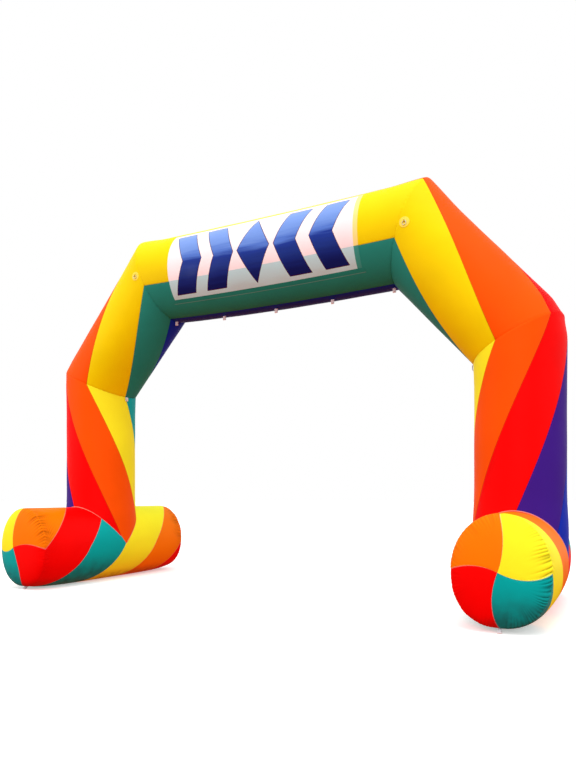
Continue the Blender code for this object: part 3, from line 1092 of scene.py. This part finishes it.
@dataclass
class Bolster:
    """What a foot's barrel and its caps share: four gores, gathered into the seams at both caps.

    A form is the names of the piece, its solid and its slot, its plain grid about the foot's own axis,
    the turns and runs on it, the distance from the nearest end seam, the relief without its gathers,
    how deep in a gather each place is, and the middles of its ends, if it has its own.
    """

    side: int
    word: str
    finishes: list[Material]  # the gores' four, then those of their sewn edges
    gathered: tuple = (182.0, 150.0)  # turns where the cloth is gathered most, at the front and the back
    focus: float = 2.6  # how closely the gathers keep to those turns
    least: float = 0.34  # how deep they are elsewhere, as a share of the deepest
    forward: float = 0.0  # how far the front seam was sewn ahead of its place, on the arch's inner side
    forward_reach: float = 0.6
    seam_depth: float = 0.003
    seam_reach: float = 0.010
    seam_gather: float = 0.024
    rim_depth: float = 0.0022
    rim_reach: float = 0.008
    rim_gather: float = 0.05
    tuck_depth: float = 0.0130
    tuck_start: float = 0.016
    tuck_reach: float = 0.125
    seeds: tuple = (0.9, 4.2)  # shift the gathers at the front and the back
    radius: float = 0.52  # its rough radius, which turns degrees into distances on the cloth
    steps: int = 59

    def columns(self) -> Array:
        """Each column's angle where the front seam is."""
        gores, share, _ = gore_columns(4, self.steps)
        return -270 + 90 * gores + 90 * share

    def tucks(self, degrees: Array, from_rim: Array, back: int) -> Array:
        """The gathers that run away from a cap's seam.

        Args:
            degrees: Turns round the foot.
            from_rim: Distance from the cap's seam.
            back: 0 at the front and 1 at the back.

        Returns:
            How deep in a gather each place is, from 0 to 1.
        """
        turn, seed = np.radians(degrees), self.seeds[back]
        reach = self.tuck_reach * (1 + 0.35 * np.sin(5 * turn + seed) * np.sin(9 * turn + 2 * seed))
        fading = np.exp(-((from_rim / reach) ** 2.4)) * (0.35 + 0.65 * smooth(from_rim / self.tuck_start))
        most = np.exp(self.focus * (np.cos(turn - math.radians(self.gathered[back])) - 1))
        slack = self.least + (1 - self.least) * most + 0.10 * np.maximum(0, -np.sin(turn)) ** 4
        bent = degrees + 40 * from_rim * np.sin(3 * turn + seed)
        return slack * creases(bent, seed) * fading

    def ahead(self, degrees: Array) -> Array:
        """How far ahead the front seam was sewn at each turn round the foot."""
        return self.forward * (1 + np.cos(np.radians(degrees))) / 2

    def from_seam(self, radius: Array | float) -> Array:
        """Distance from the nearest long seam, at a radius from the foot's axis."""
        share = gore_columns(4, self.steps)[1]
        return np.minimum(share, 1 - share) * np.pi / 2 * radius

    def sunk(self, radius: Array | float) -> Array:
        """How far the long seams sink the cloth, at a radius from the foot's axis."""
        return -self.seam_depth * np.exp(-self.from_seam(radius) / self.seam_reach)

    def rim(self, far: Array) -> Array:
        """How far a cap's seam draws the cloth in, at distances from it."""
        return self.rim_depth * np.exp(-((far / self.rim_reach) ** 1.3))

    def build(self) -> None:
        """Puts the relief on a plain form and models its sleeve."""
        names, grid, turns, runs, from_end, lift, folds, ends = self.form()
        grid = grid + column(lift - self.tuck_depth * folds) * outwards(grid)
        grid[..., 2] = np.maximum(grid[..., 2], 0)
        for part in (grid, *ends):
            part[..., 0] = self.side * (FORM.leg_x - part[..., 0])
        width = self.from_seam(self.radius) / self.seam_gather
        shares = (np.broadcast_to(width, folds.shape), from_end / self.rim_gather)
        paint = np.broadcast_to(gore_columns(4, self.steps)[2], folds.shape)
        last = (self.finishes, self.radius, np.clip(folds, 0, 1), ends)
        Sleeve(*names, grid, turns, runs, *shares, paint, *last).build()


@dataclass
class Barrel(Bolster):
    """A foot's long barrel, whose four gores wind nearly once round it."""

    barrel_share: float = 0.35  # how deep its gathers are beside the caps'

    def form(self) -> tuple:
        """Shapes the barrel.

        Returns:
            Its form, as listed above for all bolsters.
        """
        length = 2 * FOOT.half_length
        runs = row_runs(length, 0.034)[:, None] * length
        turns = self.columns() + FOOT.wound(runs)
        runs = np.broadcast_to(runs, turns.shape)
        y = runs - FOOT.half_length
        part = y / FOOT.half_length
        grid = FOOT.ring(turns, y, FOOT.waist(part), FOOT.seam_lift * part**6, 1.0)
        grid[..., 1] -= self.ahead(turns) * np.clip(1 - runs / self.forward_reach, 0, 1) ** 2
        lift = self.sunk(self.radius) - self.rim(runs) - self.rim(length - runs)
        folds = self.barrel_share * (self.tucks(turns, runs, 0) + self.tucks(turns, length - runs, 1))
        from_end = np.minimum(runs, length - runs)
        node = f"foot_{self.word}"
        return (f"{node}_barrel_skin", node, "foot_cloth"), grid, turns, runs, from_end, lift, folds, ()


@dataclass
class Cap(Bolster):
    """A domed cap whose four gores lean round like the blades of a pinwheel."""

    back: bool = False
    lean: float = 22.0
    pole_shift: float = 0.0
    fuller: float = 0.036  # how much fuller the back cap stands than the front one
    seam_radius: float = 0.46

    def form(self) -> tuple:
        """Shapes the cap.

        Returns:
            Its form, as listed above for all bolsters.
        """
        rise = np.concatenate([[0, 1.6, 3.4, 5.6, 8.2, 11.2, 14.6, 18.4], np.linspace(22, 88.4, 34)])
        level = np.cos(np.radians(rise))[:, None]
        way = -1 if self.back else 1
        start = FOOT.wound(2 * FOOT.half_length) if self.back else 0
        turns = self.columns() + start + way * self.lean * (1 - level)
        turn = np.radians(turns)
        across = level * np.cos(turn) + self.pole_shift * (1 - level)
        inwards = np.minimum(1, np.hypot(across, level * np.sin(turn)))
        seen = np.degrees(np.arctan2(level * np.sin(turn), across))
        depth = FOOT.cap_depth + (self.fuller if self.back else 0)
        y = way * -(FOOT.half_length + FORM.gap + depth * np.sqrt(1 - inwards**2))
        grid = FOOT.ring(seen, y, FOOT.seam_half_width, FOOT.seam_lift, inwards)
        if not self.back:
            grid[..., 1] -= self.ahead(seen) * inwards**2
        steps = np.linalg.norm(np.diff(grid, axis=0), axis=2)
        runs = np.concatenate([np.zeros((1, grid.shape[1])), np.cumsum(steps, axis=0)])
        lift = self.sunk(self.seam_radius * inwards) * smooth(inwards / 0.15) - self.rim(runs)
        folds = self.tucks(seen, runs, int(self.back))
        crown = grid[-1].mean(axis=0) + np.array([0, way * -0.0002, 0])
        floor = np.array([0, y[0, 0], FORM.foot_z + FOOT.seam_lift / 2])
        node = f"foot_{self.word}_{'back' if self.back else 'front'}_cap"
        return (f"{node}_skin", node, "cap_cloth"), grid, turns, runs, runs, lift, folds, (floor, crown)


# ---------------------------------------------------------------- banner, strip and fittings


@dataclass
class Film:
    """A thin sheet stretched over the beam's front, from one turn to another."""

    node: str
    slot: str
    half_length: float
    top: float
    bottom: float
    finishes: list[Material]  # its own, and the one of its lowest row, where that differs
    ripple: float = 0.004
    rows: int = 40
    columns: int = 160
    radius: float = 0.561  # of its arc round the beam
    thickness: float = 0.0015
    lift: float = 0.0008

    def build(self) -> None:
        """Models the film."""
        drop = math.radians(self.bottom - self.top) * self.radius
        film, flat = add_grid(self.columns, self.rows, *self.finishes)
        film.name = film.data.name = f"{self.node}_sheet"
        across, down = flat[:, 0], (1 - flat[:, 1]) / 2
        x, turns = across * self.half_length, self.top + (self.bottom - self.top) * down
        place, step = Beam.surface(turns, x), 0.01
        normals = np.cross(Beam.surface(turns, x + step) - place, Beam.surface(turns + step, x) - place)
        normals /= np.linalg.norm(normals, axis=1, keepdims=True)
        normals *= np.sign(-normals[:, 1:2] * np.sin(np.radians(turns))[:, None] + 1e-9)
        edge = np.minimum(np.minimum(down, 1 - down) * drop, (1 - np.abs(across)) * self.half_length)
        waves = ((1.0, 6.1, 3.0, 0.4), (0.8, 11.3, -5.0, 2.0), (0.6, 19.0, 9.0, 0.0))
        wave = sum(size * np.sin(along * x + lean * down + shift) for size, along, lean, shift in waves)
        stand = self.lift + self.ripple * (1 + wave / 2.4) * smooth(edge / 0.10)
        set_points(film.data, place + normals * stand[:, None])
        corner = read_corners(film.data)
        add_map(film.data, "cloth", np.stack([x + self.half_length, down * drop], axis=-1)[corner])
        if len(self.finishes) > 1:
            lowest = down[corner].reshape(-1, 4).min(axis=1) > 1 - 1.5 / self.rows
            film.data.polygons.foreach_set("material_index", lowest.astype(np.int32))
        face_out(film)
        thicken(film, self.thickness, 1)
        settle(film, 40)
        hand_over(film, self.slot, self.node)


@dataclass
class WebbingLoop:
    """A loop of folded webbing, its ends sewn together under a bar of stitches.

    It is modelled once, hanging from the origin with its hole along X, and copied to each place.
    """

    webbing: Material
    thread: Material
    length: float = 0.038
    width: float = 0.020
    height: float = 0.060
    thickness: float = 0.0026
    clear: float = 0.0004
    points: int = 44

    def centre_line(self, share: Array) -> tuple[Array, Array]:
        """The loop's middle line.

        Args:
            share: The way round, from 0 at the middle of its top.

        Returns:
            Places across and up.
        """
        radius = (self.width - self.thickness) / 2
        straight, bend = self.height - self.width, math.pi * radius / 2
        run = share * (2 * straight + 4 * bend)
        low, last = run - bend - straight, run - 3 * bend - 2 * straight
        turn = (np.clip(run, 0, bend) + np.clip(low, 0, 2 * bend) + np.clip(last, 0, bend)) / radius
        down = np.clip(run - bend, 0, straight) - np.clip(low - 2 * bend, 0, straight)
        return radius * np.sin(turn), radius * np.cos(turn) - down - self.width / 2

    def model(self) -> Object:
        """Models the first loop, with a bar of stitches across both of its faces.

        Returns:
            The loop.
        """
        loop, flat = add_grid(8, self.points, self.webbing, self.thread)
        across, up = self.centre_line((flat[:, 1] + 1) / 2)
        belly = 1 + 0.10 * np.sin(np.pi * np.clip(-up / self.height, 0, 1)) ** 2
        across = across * belly + np.sign(across) * 0.0006 * (1 - flat[:, 0] ** 2)
        laid = np.stack([flat[:, 0] * self.length / 2, across, up - self.clear], axis=-1)
        set_points(loop.data, laid)
        face_out(loop, weld=0.0002)
        thicken(loop, self.thickness, 0, bevel=0.0005)
        size, half = (0.0015, 0.0006, 0.0005), self.width / 2 + 0.0004
        bar = [
            stitch((step, face * half, -row - self.clear), size, self.thread)
            for face in (-1, 1)
            for row in (0.016, 0.022)
            for step in np.linspace(-0.0145, 0.0145, 8)
        ]
        pick(loop, *bar)
        bpy.ops.object.join()
        settle(loop, 40)
        return loop

    def place(self, first: Object, node: str) -> None:
        """Copies the first loop to where one solid hangs.

        Args:
            first: The loop that was modelled.
            node: The solid that the copy replaces.
        """
        low, high = (Vector(corner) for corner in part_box(node))
        middle, size = (low + high) / 2, high - low
        copy = first.copy()
        copy.data = first.data.copy()
        copy.name = copy.data.name = f"{node}_webbing"
        bpy.context.scene.collection.objects.link(copy)
        if node.startswith("ground"):  # leans forwards, from under a cap's seam to the ground
            radius, top = self.width / 2, FORM.foot_z - FOOT.half_height + FOOT.seam_lift - FORM.gap
            tilt = math.acos((top - self.width) / (self.height - self.width))
            y = -FOOT.half_length - 2 * FORM.gap + radius * math.sin(tilt)
            copy.rotation_euler.x = -tilt
            copy.location = (middle.x, y, top - radius + radius * math.cos(tilt))
        else:
            copy.rotation_euler.z = math.pi / 2 if size.x < size.y else 0
            copy.location = (middle.x, middle.y, high.z)
        settle(copy, 40)
        for vertex in copy.data.vertices:
            vertex.co.z = max(vertex.co.z, 0.0)
        hand_over(copy, "webbing", node)


@dataclass
class CornerPatch:
    """A round patch sewn to a haunch's front near the shoulder, with a tab that holds a steel ring."""

    side: int
    word: str
    cloth: Material
    webbing: Material
    wire: Material
    radius: float = 0.060
    thickness: float = 0.0026
    inset: float = 0.085
    ring_radius: float = 0.024
    wire_radius: float = 0.003
    tab_length: float = 0.020
    tab_reach: float = 0.021  # half of the tab's height
    tab_rise: float = 0.012
    tunnel: float = 0.010
    wall: float = 0.002
    front: float = -(FORM.shoulder_radius + FORM.gap) - 0.004  # where the ring's back lies
    seam_radius: float = 0.0535  # of its round of stitches
    stitches: int = 44

    def centre(self) -> Array:
        """The patch's middle, on the haunch's axis plane."""
        return np.array(FORM.shoulder().centre) - FORM.haunch_run() * self.inset

    def on_haunch(self, x: Array, z: Array, lift: float) -> Array:
        """Puts places of the front view on the haunch's curved front.

        Args:
            x: Places across the arch, on its right side.
            z: Heights.
            lift: Distance in front of the cloth.

        Returns:
            The points.
        """
        run, centre = FORM.haunch_run(), self.centre()
        out = (x - centre[0]) * run[2] - (z - centre[2]) * run[0]
        radius = FORM.shoulder_radius - 0.0008
        y = -radius * np.sqrt(np.maximum(0, 1 - (out / (radius * 1.04)) ** 2)) - lift
        return np.stack([x, y, z], axis=-1)

    def build(self) -> None:
        """Models the patch with its tab, and its ring."""
        patch = self.disc()
        pick(patch, self.tab(), *self.thread())
        bpy.ops.object.join()
        ring = self.ring()
        for piece, slot, name, sharp in (
            (patch, "patch_cloth", f"corner_patch_{self.word}", 40),
            (ring, "ring_steel", f"corner_ring_{self.word}", 60),
        ):
            piece.scale.x = self.side
            settle(piece, sharp)
            hand_over(piece, slot, name)

    def disc(self) -> Object:
        """Models the patch: a circle inset ring by ring, laid on the haunch and thickened.

        Returns:
            The patch.
        """
        x, _, z = self.centre()
        bpy.ops.object.select_all(action="DESELECT")
        where = {"location": (x, 0, z), "rotation": (math.pi / 2, 0, 0)}
        bpy.ops.mesh.primitive_circle_add(vertices=72, radius=self.radius, fill_type="NGON", **where)
        patch = bpy.context.object
        patch.name = patch.data.name = f"corner_patch_{self.word}_cloth"
        mode("EDIT")
        bpy.ops.mesh.select_mode(type="FACE")
        bpy.ops.mesh.select_all(action="SELECT")
        for step in (0.003, 0.004, 0.009, 0.012, 0.012, 0.010):
            bpy.ops.mesh.inset(thickness=step)
        mode("OBJECT")
        freeze(patch)
        flat = read_points(patch.data)
        laid = self.on_haunch(flat[:, 0], flat[:, 2], 0.0009)
        away = np.hypot(flat[:, 0] - x, flat[:, 2] - z)
        laid[:, 1] += 0.0007 * np.exp(-(((away - self.seam_radius) / 0.0018) ** 2))
        set_points(patch.data, laid)
        patch.data.materials.append(self.cloth)
        face_out(patch)
        thicken(patch, self.thickness, 1, bevel=0.0008, steep=50.0)
        return patch

    def tab(self) -> Object:
        """Models the tab, a short webbing strap that arches over the ring's wire.

        Returns:
            The tab.
        """
        x, _, z = self.centre()
        tab, flat = add_grid(6, 28, self.webbing)
        drop = flat[:, 1] * self.tab_reach
        arch = (self.tunnel + self.wall) * smooth((0.0115 - np.abs(drop)) / 0.0060)
        across, y = x + flat[:, 0] * self.tab_length / 2, self.front + 0.0006 - arch
        set_points(tab.data, np.stack([across, y, z + self.tab_rise + drop], axis=-1))
        thicken(tab, 0.0016, 0, bevel=0.0004)
        return tab

    def thread(self) -> list[Object]:
        """Models the stitches round the patch and across the tab's ends.

        Returns:
            The stitches.
        """
        spots = []
        for turn in np.linspace(0, 2 * math.pi, self.stitches, endpoint=False):
            away = Vector((math.cos(turn), math.sin(turn))) * self.seam_radius
            spots.append((*away, math.pi / 2 - turn, 0.0028))
        for end in (-0.0175, 0.0175):
            spots += [(step, self.tab_rise + end, 0.0, 0.0040) for step in np.linspace(-0.0075, 0.0075, 5)]
        centre, size = self.centre(), (0.0017, 0.0006, 0.0006)
        return [
            stitch(self.on_haunch(centre[0] + x, centre[2] + z, lift), size, self.webbing, turn)
            for x, z, turn, lift in spots
        ]

    def ring(self) -> Object:
        """Models the ring: a wire hoop with a small welded joint, hanging in the tab.

        Returns:
            The ring.
        """
        middle = self.centre()
        middle[1] = self.front - self.wire_radius - 2 * FORM.gap
        middle[2] += self.tab_rise + self.tunnel / 2 - self.wire_radius - FORM.gap - self.ring_radius
        bpy.ops.object.select_all(action="DESELECT")
        sizes = {"major_radius": self.ring_radius, "minor_radius": self.wire_radius}
        where = {"location": middle, "rotation": (math.pi / 2, 0, 0)}
        bpy.ops.mesh.primitive_torus_add(**sizes, **where, major_segments=72, minor_segments=18)
        ring = bpy.context.object
        ring.name = ring.data.name = f"corner_ring_{self.word}_wire"
        freeze(ring)
        spots = read_points(ring.data)
        away = spots - middle
        turn = np.arctan2(away[:, 2], away[:, 0])
        hoop = middle + self.ring_radius * np.stack([np.cos(turn), 0 * turn, np.sin(turn)], axis=-1)
        weld = 1 + 0.14 * np.exp(-(((turn + 2.1) / 0.07) ** 2))
        set_points(ring.data, hoop + (spots - hoop) * weld[:, None])
        ring.data.materials.append(self.wire)
        return ring


# ---------------------------------------------------------------- studio


@dataclass
class Studio:
    """A pale floor, a soft sky light overhead and the camera."""

    lens: float = 27.87
    place: tuple = (4.085, -6.954, 1.253)
    heading: float = 24.683
    shift: tuple = (-0.0625, 0.1475)

    def build(self) -> None:
        """Sets the camera, the floor and the lights."""
        bpy.context.scene.view_settings.view_transform = "Standard"
        self.camera()
        self.floor()
        self.sky()
        self.lights()
        LOG.info("studio: camera, floor and lights")

    def camera(self) -> None:
        """Adds the camera, level and a little below the arch's middle."""
        data = bpy.data.cameras.new("camera")
        data.lens, data.sensor_width = self.lens, 36
        data.shift_x, data.shift_y = self.shift
        camera = bpy.data.objects.new("camera", data)
        camera.location = self.place
        camera.rotation_euler = (math.pi / 2, 0, math.radians(self.heading))
        bpy.context.scene.collection.objects.link(camera)
        bpy.context.scene.camera = camera

    def floor(self) -> None:
        """Adds the floor, a wide pale board that throws no light back up at the arch."""
        bpy.ops.object.select_all(action="DESELECT")
        bpy.ops.mesh.primitive_circle_add(vertices=96, radius=160, fill_type="NGON")
        floor = bpy.context.object
        floor.name = "studio_floor"
        made, graph = new_material("studio_board")
        graph.add("places", "TexCoord")
        graph.add("spots", "TexNoise", {"Vector": "places.Object", "Scale": 1.5})
        graph.add("tint", "Mix", {0: "spots", 6: "#F0EFED", 7: "#F4F3F1"}, data_type="RGBA")
        graph.add("shader", "", {"Base Color": "tint.2", "Roughness": 0.9})
        graph.add("shader", "", {"Emission Color": (1, 1, 1, 1), "Emission Strength": 0.40})
        floor.data.materials.append(made)
        floor.visible_diffuse = floor.visible_glossy = False

    def sky(self) -> None:
        """Adds a white sky over a warm lower half."""
        world = bpy.data.worlds.new("sky")
        bpy.context.scene.world = world
        world.use_nodes = True
        graph = Graph(world.node_tree, "Background")
        graph.add("way", "TexCoord")
        graph.add("up", "SeparateXYZ", {"Vector": "way.Generated"})
        graph.add("shade", "MapRange", {"Value": "up.Z", "From Min": -0.12, "From Max": -0.03})
        graph.add("light", "Mix", {0: "shade", 6: "#CE6648", 7: "#FFFFFF"}, data_type="RGBA")
        graph.add("shader", "", {"Color": "light.2", "Strength": 1.0})

    def lights(self) -> None:
        """Adds four broad lights, each with its place, its aim, its width and height, and its watts."""
        for name, place, aim, size, power in (
            ("overhead", (4.0, -8.0, 28.0), (0, 0, 2), (20, 14), 3200),
            ("front", (4.5, -13.0, 5.0), (0.0, 0, 2.4), (8, 5), 250),
            ("right", (13.0, -4.0, 4.5), (1.5, 0, 1.8), (6, 5), 110),
            ("left", (-9.0, -7.0, 5.0), (-2.5, 0, 0.8), (5, 4), 130),
        ):
            data = bpy.data.lights.new(name, "AREA")
            data.shape, data.size, data.size_y, data.energy = "RECTANGLE", *size, power
            light = bpy.data.objects.new(name, data)
            light.location = place
            light.rotation_euler = (Vector(aim) - Vector(place)).to_track_quat("-Z", "Y").to_euler()
            bpy.context.scene.collection.objects.link(light)


def tube_cloth(dyes: tuple[Dye, ...]) -> list[Material]:
    """Makes tubes' finishes, one a dye, then those of their sewn edges, a little darker."""
    shades = (1.0, 0.74)
    return [CoatedNylon(dye, shade=shade, gather_depth=0.002).build() for shade in shades for dye in dyes]


def foot_cloth() -> list[Material]:
    """Makes the feet's finishes.

    Returns:
        The four gores' finishes, then those of their sewn edges, where some pale thread shows.
    """
    made = []
    for thread in (0.0, 0.12):
        for dye in FOOT_GORES:
            fold_shade = 0.25 if dye is Dye.SCARLET else 0.62
            # the teal is darkened higher up than the rest: painted shade towards the ground
            dirt_and_shade_height = 0.55 if dye is Dye.LIT_TEAL else 0.20
            finish = CoatedNylon(dye, thread=thread, fold_shade=fold_shade, dirt_and_shade_height=dirt_and_shade_height)
            made.append(finish.build())
    return made


def main() -> None:
    """Builds the arch and its studio, piece by piece."""
    logging.basicConfig(level=logging.INFO, format="%(name)s: %(message)s")
    Studio().build()
    cloth, feet, bright = tube_cloth(GORES), foot_cloth(), tube_cloth(LEG_DYES)
    legs = [*bright[:2], *cloth[2:6], *bright[2:], *cloth[8:], CoatedNylon(Dye.BLUSH).build()]
    Beam("beam", cloth).build()
    sides = ((-1, "left"), (1, "right"))
    for side, word in sides:
        left = side < 0
        Haunch(f"haunch_{word}", cloth, side, end=LEFT_TURNS if left else RIGHT_TURNS).build()
        Leg(f"leg_{word}", legs, side).build()
        sewing = {"gathered": (40.0, 30.0), "focus": 6.0, "least": 0.12, "forward": 0.07} if left else {}
        Barrel(side, word, feet, **sewing, barrel_share=0.95 if left else 0.35).build()
        Cap(side, word, feet, **sewing, pole_shift=-0.18 if left else 0.0).build()
        Cap(side, word, feet, **sewing, back=True).build()
    Film("banner", "banner_film", 1.405, 37.5, 135, [PrintedVinyl().build()]).build()
    # the strip's lowest row is a paler teal: a painted highlight along its lower edge
    edge_highlight = CoatedNylon(Dye.TEAL, thread=0.11).build()
    plain = CoatedNylon(Dye.TEAL, shade=0.92, roughness=0.35).build()
    Film("banner_strip", "strip_cloth", 1.440, 136.5, 141.5, [plain, edge_highlight], 0.0, rows=6).build()
    webbing, wire = PolyesterWebbing().build(), PlatedWire().build()
    thread, tab = PolyesterWebbing("#F4F4F0", rib_mm=1.5).build(), PolyesterWebbing("#E2CC30").build()
    patch = CoatedNylon(Dye.PRIMROSE).build()
    for side, word in sides:
        CornerPatch(side, word, patch, tab, wire).build()
    loop = WebbingLoop(webbing, thread)
    first = loop.model()
    for node in sorted(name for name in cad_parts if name.startswith(("tie_loop", "ground_loop"))):
        loop.place(first, node)
    bpy.data.objects.remove(first)


if __name__ == "__main__":
    main()
